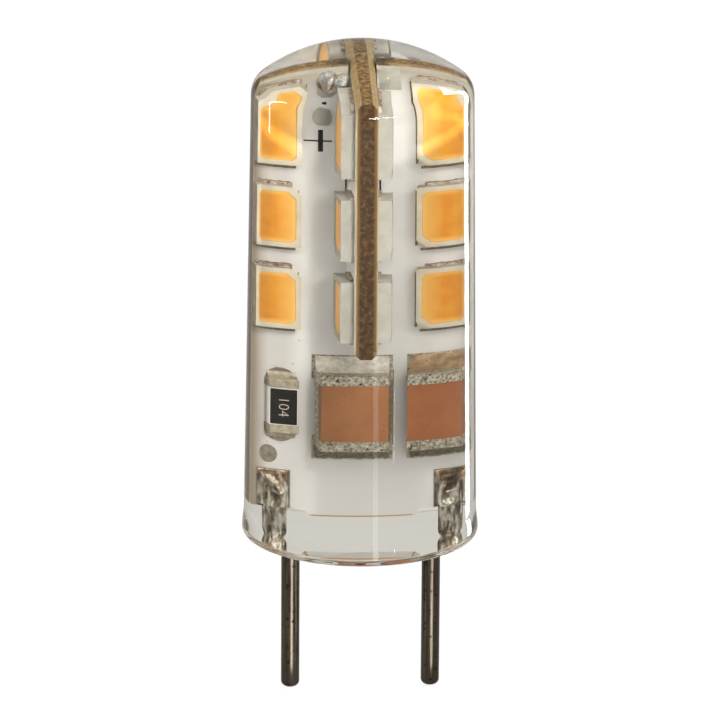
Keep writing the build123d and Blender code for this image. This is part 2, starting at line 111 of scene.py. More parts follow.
# LED packages
LED_PITCH = 4.75 * MM
LED_OUT = 3.2 * MM
WINDOW_HALF_WIDTH = 1.15 * MM
WINDOW_HALF_LENGTH = 1.475 * MM
TERMINAL_WIDTH = 2.2 * MM
TERMINAL_REACH = 0.12 * MM

# Solder at the LEDs' terminals, and how much more of it chance adds
STRIP_REACH = 0.03 * MM
STRIP_REACH_MORE = 0.06 * MM
STRIP_HEIGHT = 0.03 * MM
STRIP_HEIGHT_MORE = 0.07 * MM
STRIP_OVERLAP = 0.02 * MM
STRIP_EDGE = 0.012 * MM

# Spattered beads of solder: how many lie by each piece, how far from it, and their radius
BEAD_COUNTS = {"capacitor_left_ends": 16, "capacitor_right_ends": 12, "front_resistor_ends": 9}
BEAD_BEYOND = 0.55 * MM
BEAD_BEYOND_MORE = 0.4 * MM
BEAD_RADIUS = 0.02 * MM
BEAD_RADIUS_MORE = 0.035 * MM

# Dark lines: painted shadow beside the packages of the left and the right column and between the capacitors,
# and old flux under every package
SHADOW_LINE_LEFT = 0.06 * MM
SHADOW_LINE_RIGHT = 0.12 * MM
SHADOW_LINE_BELOW_TOP = 0.3 * MM
FLUX_UNDER_START = 0.14 * MM
FLUX_UNDER_END = 0.3 * MM
FLUX_UNDER_INSET = 0.1 * MM
CAPACITOR_SHADOW_LEFT = 0.17 * MM
CAPACITOR_SHADOW_RIGHT = 0.08 * MM

# Films on the boards
INK_FILM = 0.012 * MM
LINE_FILM = 0.01 * MM
DIGIT_HEIGHT = 0.8 * MM
DIGIT_THINNING = 0.012 * MM
DIGIT_LIFT = 0.004 * MM

# Drops of solder in a corner of the boards, in millimetres: how far along the main board, out of it and
# up from the joint's middle each one lies, and its half sizes; then a seed for its skin
JOINT_DROPS = [
    ((1.03, 0.03, 0.17), (0.56, 0.58, 0.74), 2.3),
    ((0.32, 0.22, 0.12), (0.52, 0.55, 0.56), 5.1),
]

# Print on the main board, in millimetres: left, bottom, right and top of each stroke
PRINT_STROKES = {
    "plus_bar": (-2.5, 23.53, -1.28, 23.62),
    "plus_post": (-1.87, 22.95, -1.66, 24.22),
    "cross_board_mark": (0.66, 20.65, 0.74, 21.4),
}


# Meshes

def add_piece(name, mesh, replaced=()):
    """Puts a mesh on the part and hides the parts that it replaces."""
    piece = bpy.data.objects.new(name, mesh)
    bpy.context.scene.collection.objects.link(piece)
    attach(piece, "root")
    if replaced:
        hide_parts(*replaced)
    return piece


def mesh_from(name, shape, smooth=True, closed=True):
    """Turns a bmesh into a mesh; a closed one gets its faces turned outwards."""
    if closed:
        bmesh.ops.recalc_face_normals(shape, faces=shape.faces[:])
    mesh = bpy.data.meshes.new(name)
    shape.to_mesh(mesh)
    shape.free()
    for face in mesh.polygons:
        face.use_smooth = smooth
    return mesh


def add_loft(shape, rings):
    """Skins closed rings of points, all of one count, and closes both ends with a fan."""
    loops = [[shape.verts.new(point) for point in ring] for ring in rings]
    count = len(rings[0])
    for lower, upper in zip(loops, loops[1:]):
        for step in range(count):
            after = (step + 1) % count
            shape.faces.new((lower[step], lower[after], upper[after], upper[step]))
    for ring, loop in ((rings[0], loops[0]), (rings[-1], loops[-1])):
        middle = sum((Vector(point) for point in ring), Vector()) / count
        tip = shape.verts.new(middle)
        for step in range(count):
            shape.faces.new((loop[step], loop[(step + 1) % count], tip))


def arc(centre, radius, start, end, steps):
    """Points along an arc of a half section, angles in degrees up from level."""
    points = []
    for step in range(steps + 1):
        angle = math.radians(start + (end - start) * step / steps)
        points.append((centre[0] + radius * math.cos(angle), centre[1] + radius * math.sin(angle)))
    return points


def smooth_step(value):
    """Eases 0 to 1."""
    value = min(1.0, max(0.0, value))
    return value * value * (3 - 2 * value)


def shoulder_points(end, top, turn):
    """The bend from the wall into the dome, which tightens on its way up to its end on the dome."""
    steps = 28
    angles = [turn * ((step + 0.5) / steps) ** SHOULDER_EASE for step in range(steps)]
    stride = (top - end[0]) / sum(math.sin(angle) for angle in angles)
    points = [end]
    for angle in reversed(angles):
        radius, height = points[0]
        points.insert(0, (radius + stride * math.sin(angle), height - stride * math.cos(angle)))
    return points


def base_points():
    """Half section of the base: the recess, its meniscus and the rounded lip."""
    hollow = RIM_RADIUS - MENISCUS_WIDTH
    bend = (MENISCUS_WIDTH ** 2 + BASE_RECESS ** 2) / (2 * BASE_RECESS)
    fall = math.degrees(math.acos(MENISCUS_WIDTH / bend))
    points = [(hollow * step / 6, BASE_RECESS) for step in range(1, 6)]
    points += arc((hollow, BASE_RECESS - bend), bend, 90, fall, 14)
    points += arc((LIP_RADIUS - EDGE_ROUND, EDGE_ROUND), EDGE_ROUND, -90, 0, 10)
    return points


def capsule_section():
    """Half section of the casting, from the middle of its base up to the crown."""
    foot = LIP_RADIUS - LIP_FLARE
    top = foot - WALL_DRAFT
    shoulder = BOARD_TOP - SHOULDER_DROP
    rise = CROWN - shoulder
    inset = top - SHOULDER_ROUND
    dome = (inset ** 2 + rise ** 2 - SHOULDER_ROUND ** 2) / (2 * (rise - SHOULDER_ROUND))
    turn = math.degrees(math.atan2(shoulder - CROWN + dome, inset))
    section = base_points()
    for step in range(1, 9):
        height = EDGE_ROUND + (LIP_HEIGHT + EDGE_ROUND) * step / 9
        flare = LIP_FLARE * (1 - smooth_step((height - EDGE_ROUND) / (LIP_HEIGHT + EDGE_ROUND)))
        wall = foot - WALL_DRAFT * (height - LIP_HEIGHT) / (shoulder - LIP_HEIGHT)
        section.append((min(wall + flare, LIP_RADIUS), height))
    crown_arc = arc((0, CROWN - dome), dome, turn, 90, 30)[:-1]
    bend_points = shoulder_points(crown_arc[0], top, math.radians(turn))
    start = LIP_HEIGHT + 2 * EDGE_ROUND
    end = bend_points[0][1]
    for step in range(24):
        height = start + (end - start) * step / 24
        section.append((foot - WALL_DRAFT * (height - LIP_HEIGHT) / (end - LIP_HEIGHT), height))
    return section + bend_points[:-1] + crown_arc


def make_capsule():
    """The clear casting as one closed skin round everything that is cast in."""
    shape = bmesh.new()
    rings = []
    for radius, height in capsule_section():
        ring = []
        for side in range(SKIN_SIDES):
            angle = 2 * math.pi * side / SKIN_SIDES
            ring.append((radius * math.cos(angle), radius * math.sin(angle), height))
        rings.append(ring)
    add_loft(shape, rings)
    return add_piece("capsule_skin", mesh_from("capsule_skin", shape), ["capsule"])


def rounded_ring(middle, half_width, half_depth, height, square):
    """A level ring, round where square is 2 and nearly a rectangle where it is 6."""
    sides = 48
    ring = []
    for side in range(sides):
        angle = 2 * math.pi * side / sides
        across = math.copysign(abs(math.cos(angle)) ** (2 / square), math.cos(angle))
        deep = math.copysign(abs(math.sin(angle)) ** (2 / square), math.sin(angle))
        ring.append((middle[0] + half_width * across, middle[1] + half_depth * deep, height))
    return ring


def make_pin(name):
    """A drawn wire pin with a rounded tip below and a tail pressed flat on the board."""
    low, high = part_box(name)
    middle = ((low.x + high.x) / 2, (low.y + high.y) / 2)
    rings = []
    for step in range(1, 9):
        angle = math.pi / 2 * step / 8
        radius = PIN_RADIUS - PIN_TIP_ROUND + PIN_TIP_ROUND * math.sin(angle)
        height = low.z + PIN_TIP_ROUND * (1 - math.cos(angle))
        rings.append(rounded_ring(middle, radius, radius, height, 2))
    for step in range(1, 9):
        height = low.z + PIN_TIP_ROUND + (PRESS_START - low.z - PIN_TIP_ROUND) * step / 8
        rings.append(rounded_ring(middle, PIN_RADIUS, PIN_RADIUS, height, 2))
    for step in range(1, 7):
        share = smooth_step(step / 6)
        width = PIN_RADIUS + (TAIL_HALF_WIDTH - PIN_RADIUS) * share
        depth = PIN_RADIUS + (TAIL_HALF_THICK - PIN_RADIUS) * share
        height = PRESS_START + PRESS_STEP * step
        rings.append(rounded_ring(middle, width, depth, height, 2 + 1.6 * share))
    end = high.z - TAIL_COVERED
    for width, depth, below, square in ((1, 1, 0.15, 3.6), (0.9, 0.85, 0.04, 3), (0.6, 0.55, 0, 3)):
        rings.append(rounded_ring(middle, TAIL_HALF_WIDTH * width, TAIL_HALF_THICK * depth,
                                  end - below * MM, square))
    shape = bmesh.new()
    add_loft(shape, rings)
    return add_piece(name + "_wire", mesh_from(name + "_wire", shape), [name])


def solder_height(x, z, edge, seed):
    """How far the solder stands off a pin's land, x from the pin's middle and edge from the land's rim."""
    if edge <= 0:
        return 0.0
    tail_top = pin_high.z - TAIL_COVERED
    beside = max(0.0, abs(x) - TAIL_HALF_WIDTH * 0.6)
    above = max(0.0, z - tail_top - 0.05 * MM)
    reach = math.hypot(beside / SOLDER_BESIDE, above / SOLDER_ABOVE)
    climb = max(0.0, 1 - reach) ** 1.15
    wave = noise.noise(Vector((x / MM * 2.2 + seed, z / MM * 2.2, seed)))
    ripple = noise.noise(Vector((x / MM * 5 + seed, z / MM * 5, seed)))
    height = SOLDER_FILM + climb * (SOLDER_CLIMB + SOLDER_WAVE * wave + SOLDER_RIPPLE * ripple)
    return height * smooth_step(edge / SOLDER_RIM)


def add_pin_solder(shape, middle, seed):
    """Solder that has wetted a pin's land and climbed its tail."""
    across_steps = 40
    up_steps = 44
    half_width = PIN_LAND_WIDTH / 2 - LAND_MARGIN
    low = PIN_LAND_LOW + LAND_MARGIN
    high = PIN_LAND_HIGH - LAND_MARGIN
    grid = []
    for up in range(up_steps + 1):
        row = []
        for across in range(across_steps + 1):
            x = half_width * (-1 + 2 * across / across_steps)
            z = low + (high - low) * up / up_steps
            edge = min(half_width - abs(x), z - low, high - z)
            depth = FRONT - LAND_THICK - solder_height(x, z, edge, seed)
            row.append(shape.verts.new((middle + x, depth, z)))
        grid.append(row)
    for lower, upper in zip(grid, grid[1:]):
        for step in range(across_steps):
            shape.faces.new((lower[step], lower[step + 1], upper[step + 1], upper[step]))


def make_pin_solder():
    """The lumps of solder on both pins' lands."""
    shape = bmesh.new()
    for name, seed in zip(PINS, (3.1, 9.4)):
        low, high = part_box(name)
        add_pin_solder(shape, (low.x + high.x) / 2, seed)
    mesh = mesh_from("pin_solder_lumps", shape, closed=False)
    return add_piece("pin_solder_lumps", mesh, ["pin_solder"])


def add_lump(shape, middle, size, seed, rough=0.07):
    """A rounded drop of metal with an uneven skin."""
    made = bmesh.ops.create_icosphere(shape, subdivisions=4, radius=1.0)
    for vert in made["verts"]:
        swell = 1 + rough * noise.noise(vert.co * 1.6 + Vector((seed, seed, seed)))
        vert.co = Vector(middle) + Vector(part * swell * span for part, span in zip(vert.co, size))


def make_joint_solder():
    """The solder that joins the two boards, two drops in each of two corners, half a turn apart."""
    shape = bmesh.new()
    level = (joint_low.z + joint_high.z) / 2
    for turn, face in ((-1, FRONT), (1, BACK)):
        corner = CROSS_MIDDLE + turn * CROSS_HALF
        for (along_board, out, up), size, seed in JOINT_DROPS:
            middle = (corner + turn * along_board * MM, face + turn * out * MM, level + up * MM)
            add_lump(shape, middle, [part * MM for part in size], seed * turn)
    mesh = mesh_from("joint_solder_drops", shape)
    return add_piece("joint_solder_drops", mesh, ["joint_solder"])


def make_beads():
    """Beads of solder that spattered round the capacitors and the resistor, and one on the spare land."""
    shape = bmesh.new()
    add_lump(shape, (1.16 * MM, FRONT - LAND_THICK, 25.52 * MM), (0.12 * MM, 0.05 * MM, 0.12 * MM), 1.0)
    for name, count in BEAD_COUNTS.items():
        low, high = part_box(name)
        for bead in range(count):
            across = low.x + (high.x - low.x) * chance.random()
            beyond = BEAD_BEYOND + BEAD_BEYOND_MORE * chance.random()
            height = low.z - beyond if chance.random() < 0.7 else high.z + beyond
            size = BEAD_RADIUS + BEAD_RADIUS_MORE * chance.random()
            made = bmesh.ops.create_icosphere(shape, subdivisions=2, radius=size)
            for vert in made["verts"]:
                vert.co += Vector((across, FRONT - size * 0.3, height))
    return add_piece("solder_beads", mesh_from("solder_beads", shape))


def led_frame(name):
    """Foot middle, direction across, direction outwards and half length of an LED package."""
    low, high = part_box(name)
    middle = (low + high) / 2
    if "main" in name:
        out = Vector((0, -1 if "front" in name else 1, 0))
        across = Vector((1, 0, 0))
        foot = Vector((middle.x, FRONT if "front" in name else BACK, middle.z))
    else:
        out = Vector((-1 if "cross_left" in name else 1, 0, 0))
        across = Vector((0, 1, 0))
        foot = Vector((cross_low.x if "cross_left" in name else cross_high.x, middle.y, middle.z))
    return foot, across, out, (high.z - low.z) / 2


def add_solder_strip(shape, foot, across, out, up, start):
    """A low uneven fillet of solder along a terminal, running down to the board."""
    steps = 14
    rows = []
    for step in range(steps + 1):
        side = (-0.5 + step / steps) * TERMINAL_WIDTH
        at_end = step in (0, steps)
        reach = (STRIP_REACH + STRIP_REACH_MORE * chance.random()) * (0.6 if at_end else 1)
        height = (STRIP_HEIGHT + STRIP_HEIGHT_MORE * chance.random()) * (0.5 if at_end else 1)
        base = foot + across * side
        inner = base + up * (start - STRIP_OVERLAP)
        outer = base + up * (start + reach)
        rows.append([
            shape.verts.new(inner),
            shape.verts.new(inner + out * height),
            shape.verts.new(base + up * (start + reach * 0.35) + out * height * 0.75),
            shape.verts.new(outer + out * STRIP_EDGE),
            shape.verts.new(outer),
        ])
    for left, right in zip(rows, rows[1:]):
        for step in range(4):
            shape.faces.new((left[step], right[step], right[step + 1], left[step + 1]))
    shape.faces.new(rows[0])
    shape.faces.new(rows[-1][::-1])


def make_led_solder():
    """Solder at both ends of every LED package, one piece for each board face."""
    pieces = []
    for face in FACES:
        shape = bmesh.new()
        for name in LED_NAMES:
            if not name.startswith("led_" + face):
                continue
            foot, across, out, half = led_frame(name)
            for up in (Vector((0, 0, 1)), Vector((0, 0, -1))):
                add_solder_strip(shape, foot, across, out, up, half + TERMINAL_REACH)
        pieces.append(add_piece("led_solder_" + face, mesh_from("led_solder_" + face, shape)))
    return pieces


def add_plate(shape, low, high):
    """A thin box between two corners."""
    made = bmesh.ops.create_cube(shape, size=1.0)
    middle = (Vector(low) + Vector(high)) / 2
    span = Vector(high) - Vector(low)
    for vert in made["verts"]:
        vert.co = middle + Vector(part * size for part, size in zip(vert.co, span))


def make_print():
    """Dark print on the main board: the polarity cross and a mark beside the cross board."""
    shape = bmesh.new()
    for left, bottom, right, top in PRINT_STROKES.values():
        add_plate(shape, (left * MM, FRONT - INK_FILM, bottom * MM), (right * MM, FRONT, top * MM))
    return add_piece("board_print", mesh_from("board_print", shape, smooth=False))


def make_flux_and_shadow_lines():
    """Brown lines: painted shadow beside the LED packages and between the capacitors, and old flux under the
    packages.
    """
    shape = bmesh.new()
    for name in LED_NAMES:
        if "main" not in name:
            continue
        low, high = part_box(name)
        near, far = (FRONT - LINE_FILM, FRONT) if "front" in name else (BACK, BACK + LINE_FILM)
        right = (low.x + high.x) / 2 > LAYOUT_MIDDLE
        start, end = (low.x - SHADOW_LINE_RIGHT, low.x) if right else (high.x, high.x + SHADOW_LINE_LEFT)
        # painted shadow beside the package
        add_plate(shape, (start, near, low.z), (end, far, high.z - SHADOW_LINE_BELOW_TOP))
        # old flux under the package
        add_plate(shape, (low.x + FLUX_UNDER_INSET, near, low.z - FLUX_UNDER_END),
                  (high.x - FLUX_UNDER_INSET, far, low.z - FLUX_UNDER_START))
    # painted shadow between the capacitors
    low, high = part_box("capacitor_left")
    add_plate(shape, (high.x, FRONT - LINE_FILM, low.z), (high.x + CAPACITOR_SHADOW_LEFT, FRONT, high.z))
    low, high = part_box("capacitor_right")
    add_plate(shape, (low.x - CAPACITOR_SHADOW_RIGHT, FRONT - LINE_FILM, low.z), (low.x, FRONT, high.z))
    return add_piece("flux_and_shadow_lines", mesh_from("flux_and_shadow_lines", shape, smooth=False))


def make_marking():
    """Plain digits on the resistor, read from above downwards."""
    words = bpy.data.curves.new("resistor_digits", "FONT")
    words.body = "104"
    words.size = DIGIT_HEIGHT
    words.align_x = "CENTER"
    words.align_y = "CENTER"
    words.offset = -DIGIT_THINNING
    holder = bpy.data.objects.new("resistor_digits_source", words)
    bpy.context.scene.collection.objects.link(holder)
    bpy.context.view_layer.update()
    mesh = bpy.data.meshes.new_from_object(holder)
    bpy.data.objects.remove(holder)
    middle = (coat_low + coat_high) / 2
    turn = Matrix.Rotation(math.radians(90), 4, "X") @ Matrix.Rotation(math.radians(-90), 4, "Z")
    mesh.transform(Matrix.Translation((middle.x, coat_low.y - DIGIT_LIFT, middle.z)) @ turn)
    mesh.name = "resistor_digits"
    return add_piece("resistor_digits", mesh)


# Shader nodes

def linear(red, green, blue):
    """A screen colour of 0 to 255 a channel as the light it stands for."""
    parts = []
    for level in (red, green, blue):
        part = level / 255
        parts.append(part / 12.92 if part <= 0.04045 else ((part + 0.055) / 1.055) ** 2.4)
    return (*parts, 1.0)


def add_node(tree, kind, inputs=None, **settings):
    """A node with its settings; its inputs, by label or place, are numbers, colours or sockets."""
    node = tree.nodes.new(kind)
    for label, value in settings.items():
        setattr(node, label, value)
    for label, value in (inputs or {}).items():
        if isinstance(value, bpy.types.NodeSocket):
            tree.links.new(value, node.inputs[label])
        else:
            node.inputs[label].default_value = value
    return node


def new_finish(name, roughness, metallic=0.0, specular=0.5):
    """A material with a Principled shader, and the parts that its maker adds nodes to."""
    material = bpy.data.materials.new(name)
    material.use_nodes = True
    tree = material.node_tree
    tree.nodes.clear()
    shader = add_node(tree, "ShaderNodeBsdfPrincipled", {
        "Roughness": roughness, "Metallic": metallic, "Specular IOR Level": specular})
    add_node(tree, "ShaderNodeOutputMaterial", {"Surface": shader.outputs["BSDF"]})
    return material, tree, shader


def new_group(name, inputs, output):
    """An empty shader node group with named sockets, each a label and a kind."""
    group = bpy.data.node_groups.new(name, "ShaderNodeTree")
    for label, kind in inputs.items():
        group.interface.new_socket(label, in_out="INPUT", socket_type="NodeSocket" + kind)
    group.interface.new_socket(output[0], in_out="OUTPUT", socket_type="NodeSocket" + output[1])
    return group, add_node(group, "NodeGroupInput").outputs


def add_math(tree, operation, first, second=None):
    """A Math node; first and second are sockets or numbers."""
    inputs = {0: first} if second is None else {0: first, 1: second}
    return add_node(tree, "ShaderNodeMath", inputs, operation=operation).outputs[0]


def axes(tree, kind="Object"):
    """The X, Y and Z sockets of a point's place."""
    place = add_node(tree, "ShaderNodeTexCoord").outputs[kind]
    return add_node(tree, "ShaderNodeSeparateXYZ", {0: place}).outputs


def away(tree, value, middle):
    """How far a value lies from a middle, to either side."""
    return add_math(tree, "ABSOLUTE", add_math(tree, "SUBTRACT", value, middle))


def along(tree, value, start, end):
    """How far a value has come from start to end, 0 to 1 between them."""
    return add_math(tree, "DIVIDE", add_math(tree, "SUBTRACT", value, start), end - start)


def ramp(tree, value, stops):
    """Colours or greys set against a value."""
    node = add_node(tree, "ShaderNodeValToRGB", {"Fac": value})
    marks = node.color_ramp.elements
    while len(marks) < len(stops):
        marks.new(0.5)
    for mark, (place, tone) in zip(marks, stops):
        mark.position = place
        mark.color = tone
    return node.outputs["Color"]


def tones(tree, value, dark, light, start=0.3, end=0.7):
    """Two screen colours set against a value."""
    return ramp(tree, value, [(start, linear(*dark)), (end, linear(*light))])


def fade(tree, value, start, end, most=1.0):
    """A mask that rises from none at start to most at end."""
    return ramp(tree, value, [(start, (0, 0, 0, 1)), (end, (most, most, most, 1))])


def blend(tree, share, under, over):
    """Lays one colour over another by a mask; each is a socket or a colour."""
    return add_node(tree, "ShaderNodeMix", {"Factor": share, 6: under, 7: over}, data_type="RGBA").outputs[2]


def set_range(tree, socket, value, low, high):
    """Feeds a socket with a shade's value, stretched to run from low to high."""
    node = add_node(tree, "ShaderNodeMapRange", {
        "Value": value, "From Min": 0.3, "From Max": 0.7, "To Min": low, "To Max": high})
    tree.links.new(node.outputs["Result"], socket)


def set_relief(tree, shader, height, depth, strength=1.0):
    """Bumps of that depth."""
    node = add_node(tree, "ShaderNodeBump", {"Strength": strength, "Distance": depth, "Height": height})
    tree.links.new(node.outputs["Normal"], shader.inputs["Normal"])


def set_colour(tree, shader, socket):
    """Colours a finish."""
    tree.links.new(socket, shader.inputs["Base Color"])


# Effects that several finishes share

CLOUD_ROUGHNESS = 0.6


def make_grain_group():
    """Cloudy or streaky shade over a surface, drawn out along one direction by Stretch."""
    group, given = new_group(
        "grain", {"Scale": "Float", "Detail": "Float", "Stretch": "Vector"}, ("Shade", "Float"))
    place = add_node(group, "ShaderNodeTexCoord").outputs["Object"]
    drawn = add_node(group, "ShaderNodeVectorMath", {0: place, 1: given["Stretch"]}, operation="MULTIPLY")
    cloud = add_node(group, "ShaderNodeTexNoise", {
        "Vector": drawn.outputs[0],
        "Scale": given["Scale"],
        "Detail": given["Detail"],
        "Roughness": CLOUD_ROUGHNESS,
    })
    add_node(group, "NodeGroupOutput", {"Shade": cloud.outputs["Fac"]})
    return group


def make_specks_group():
    """Scattered small spots, of the share of cells that Share leaves in."""
    group, given = new_group(
        "specks", {"Scale": "Float", "Size": "Float", "Share": "Float"}, ("Mask", "Float"))
    place = add_node(group, "ShaderNodeTexCoord").outputs["Object"]
    cells = add_node(group, "ShaderNodeTexVoronoi", {"Vector": place, "Scale": given["Scale"]})
    split = add_node(group, "ShaderNodeSeparateColor", {"Color": cells.outputs["Color"]})
    chosen = add_math(group, "LESS_THAN", split.outputs[0], given["Share"])
    inside = add_math(group, "DIVIDE", cells.outputs["Distance"], given["Size"])
    spot = add_node(group, "ShaderNodeClamp", {"Value": add_math(group, "SUBTRACT", 1.6, inside)})
    add_node(group, "NodeGroupOutput", {"Mask": add_math(group, "MULTIPLY", spot.outputs[0], chosen)})
    return group


def make_window_group():
    """How near a point lies to the rim of its LED's window, 0 in the middle and 1 at the rim."""
    labels = ("Across", "Middle", "Column", "Height", "Lowest")
    group, given = new_group("window_rim", {label: "Float" for label in labels}, ("Rim", "Float"))
    column = away(group, away(group, given["Across"], given["Middle"]), given["Column"])
    side = add_math(group, "DIVIDE", column, WINDOW_HALF_WIDTH)
    rise = add_math(group, "SUBTRACT", given["Height"], given["Lowest"])
    row = add_math(group, "ADD", add_math(group, "DIVIDE", rise, LED_PITCH), 0.5)
    place = away(group, add_math(group, "FRACT", row), 0.5)
    end = add_math(group, "MULTIPLY", place, LED_PITCH / WINDOW_HALF_LENGTH)
    far = add_node(group, "ShaderNodeMath", {0: side, 1: end, 2: 0.25}, operation="SMOOTH_MAX")
    add_node(group, "NodeGroupOutput", {"Rim": far.outputs[0]})
    return group


def make_burnt_group():
    """Patches of burnt flux over a colour, thickest beside the cross board."""
    group, given = new_group("burnt_flux", {"Under": "Color"}, ("Colour", "Color"))
    place = add_node(group, "ShaderNodeTexCoord").outputs["Object"]
    cloud = add_node(group, "ShaderNodeTexNoise", {
        "Vector": place, "Scale": 1 / (0.45 * MM), "Detail": 3.0, "Roughness": CLOUD_ROUGHNESS})
    offset = away(group, axes(group)["X"], CROSS_MIDDLE)
    near = add_math(group, "SUBTRACT", 1.1, add_math(group, "DIVIDE", offset, 2.8 * MM))
    patches = add_math(group, "MULTIPLY", near, cloud.outputs["Fac"])
    stain = fade(group, patches, 0.24, 0.4, 0.85)
    add_node(group, "NodeGroupOutput", {"Colour": blend(group, stain, given["Under"], linear(40, 28, 19))})
    return group


GRAIN = make_grain_group()
SPECKS = make_specks_group()
WINDOW = make_window_group()
BURNT = make_burnt_group()


def add_effect(tree, group, inputs):
    """Result of a shared effect with those inputs."""
    return add_node(tree, "ShaderNodeGroup", inputs, node_tree=group).outputs[0]


def grain(tree, size, detail=3.0, stretch=(1, 1, 1)):
    """Shade whose clouds are about that size."""
    return add_effect(tree, GRAIN, {"Scale": 1 / size, "Detail": detail, "Stretch": stretch})


def specks(tree, spacing, size, share):
    """Mask of spots, of that size as a share of the spacing."""
    return add_effect(tree, SPECKS, {"Scale": 1 / spacing, "Size": size, "Share": share})


def burnt_flux(tree, under):
    """A colour with burnt flux over it."""
    return add_effect(tree, BURNT, {"Under": under})


# Finishes

def clear_silicone():
    """Water-clear casting rubber; lamps shine straight through it onto what is cast in."""
    material, tree, shader = new_finish("clear_silicone", 0.0)
    shader.inputs["Base Color"].default_value = (1.0, 0.995, 0.98, 1.0)
    shader.inputs["Transmission Weight"].default_value = 1.0
    shader.inputs["IOR"].default_value = 1.41
    set_relief(tree, shader, grain(tree, 3.5 * MM, 1.0), 0.02 * MM, 0.5)
    through = add_node(tree, "ShaderNodeBsdfTransparent")
    rays = add_node(tree, "ShaderNodeLightPath")
    choice = add_node(tree, "ShaderNodeMixShader", {
        0: rays.outputs["Is Shadow Ray"], 1: shader.outputs["BSDF"], 2: through.outputs["BSDF"]})
    tree.links.new(choice.outputs["Shader"], tree.nodes["Material Output"].inputs["Surface"])
    return material


def board_mask():
    """White mask of the boards with painted shade, greyer low down and away from the middle and darker near
    the top; darker and browner towards the left, bare at the foot.
    """
    material, tree, shader = new_finish("board_mask", 0.5, specular=0.1)
    paint = tones(tree, grain(tree, 3 * MM), (208, 206, 198), (220, 218, 211))
    dust = specks(tree, 0.9 * MM, 0.06, 0.3)
    paint = blend(tree, dust, paint, linear(168, 158, 138))
    place = axes(tree)
    # painted shade: the mask greys low down and away from the middle
    downward = along(tree, place["Z"], 15 * MM, 3 * MM)
    outward = along(tree, away(tree, place["X"], LAYOUT_MIDDLE), 1.9 * MM, 3.5 * MM)
    grey = fade(tree, add_math(tree, "MAXIMUM", downward, outward), 0.0, 0.75)
    paint = blend(tree, grey, paint, linear(184, 181, 173))
    # painted shade: the mask darkens near the top of the board
    top = fade(tree, along(tree, place["Z"], BOARD_TOP - 2.0 * MM, BOARD_TOP - 0.4 * MM), 0.0, 1.0)
    paint = blend(tree, top, paint, linear(150, 142, 124))
    left = fade(tree, along(tree, place["X"], -4.15 * MM, -5.35 * MM), 0.0, 1.0)
    paint = blend(tree, left, paint, linear(128, 113, 89))
    below = add_math(tree, "LESS_THAN", place["Z"], main_low.z + 0.08 * MM)
    above = add_math(tree, "GREATER_THAN", place["Z"], main_low.z + 0.004 * MM)
    bare = add_math(tree, "MULTIPLY", below, above)
    set_colour(tree, shader, blend(tree, bare, paint, linear(150, 116, 72)))
    set_relief(tree, shader, grain(tree, 0.25 * MM), 0.006 * MM)
    return material


def board_edge(name, axis, middle):
    """Milled edge of brown fibreglass, mottled by its cut fibres, with the mask's pale edge on both sides."""
    material, tree, shader = new_finish(name, 0.6, specular=0.15)
    body = ramp(tree, grain(tree, 0.3 * MM, 5.0), [
        (0.3, linear(34, 21, 8)), (0.5, linear(62, 42, 19)), (0.72, linear(102, 75, 38))])
    fibres = specks(tree, 0.12 * MM, 0.25, 0.35)
    body = blend(tree, fibres, body, linear(40, 26, 12))
    offset = away(tree, axes(tree)[axis], middle)
    pale = fade(tree, add_math(tree, "DIVIDE", offset, BOARD_HALF), 0.55, 0.85)
    body = blend(tree, pale, body, linear(108, 83, 46))
    skin = add_math(tree, "GREATER_THAN", offset, BOARD_HALF - 0.06 * MM)
    set_colour(tree, shader, blend(tree, skin, body, linear(156, 138, 102)))
    set_relief(tree, shader, grain(tree, 0.1 * MM, 4.0), 0.02 * MM)
    return material


def board_cut(name, dark, light):
    """Cut fibreglass of the boards, clouded; the pale copy on the cross board's back edge is painted light.
    """
    material, tree, shader = new_finish(name, 0.55, specular=0.15)
    set_colour(tree, shader, tones(tree, grain(tree, 0.35 * MM, 5.0), dark, light))
    set_relief(tree, shader, grain(tree, 0.08 * MM, 4.0), 0.01 * MM)
    return material


def masked_bevel():
    """Scored bevel at the front of the main board, masked in a darker copy of the mask, which is painted
    shade, up to a bare brown strip along its top.
    """
    material, tree, shader = new_finish("board_bevel_masked", 0.55, specular=0.15)
    shade = grain(tree, 0.35 * MM, 5.0)
    # painted shade: a darker copy of the board's mask
    paint = tones(tree, shade, (138, 132, 117), (154, 148, 132))
    fibre = tones(tree, shade, (96, 74, 44), (142, 116, 76))
    waver = add_math(tree, "MULTIPLY", shade, 0.08 * MM)
    height = add_math(tree, "ADD", axes(tree)["Z"], waver)
    bare = add_math(tree, "GREATER_THAN", height, BOARD_TOP - 0.08 * MM)
    set_colour(tree, shader, blend(tree, bare, paint, burnt_flux(tree, fibre)))
    set_relief(tree, shader, grain(tree, 0.08 * MM, 4.0), 0.01 * MM)
    return material


def board_web(name, burnt):
    """Web that was snapped between two scores, dark and torn, and burnt beside the joint."""
    material, tree, shader = new_finish(name, 0.7, specular=0.1)
    body = ramp(tree, grain(tree, 0.22 * MM, 6.0), [
        (0.35, linear(60, 42, 20)), (0.5, linear(98, 74, 40)), (0.68, linear(146, 120, 76))])
    set_colour(tree, shader, burnt_flux(tree, body) if burnt else body)
    set_relief(tree, shader, grain(tree, 0.12 * MM, 5.0), 0.05 * MM)
    return material


def led_resin(name, dark, light):
    """Moulded resin of the LED packages."""
    material, tree, shader = new_finish(name, 0.5, specular=0.1)
    set_colour(tree, shader, tones(tree, grain(tree, 0.8 * MM), dark, light))
    set_relief(tree, shader, grain(tree, 0.08 * MM), 0.005 * MM)
    return material


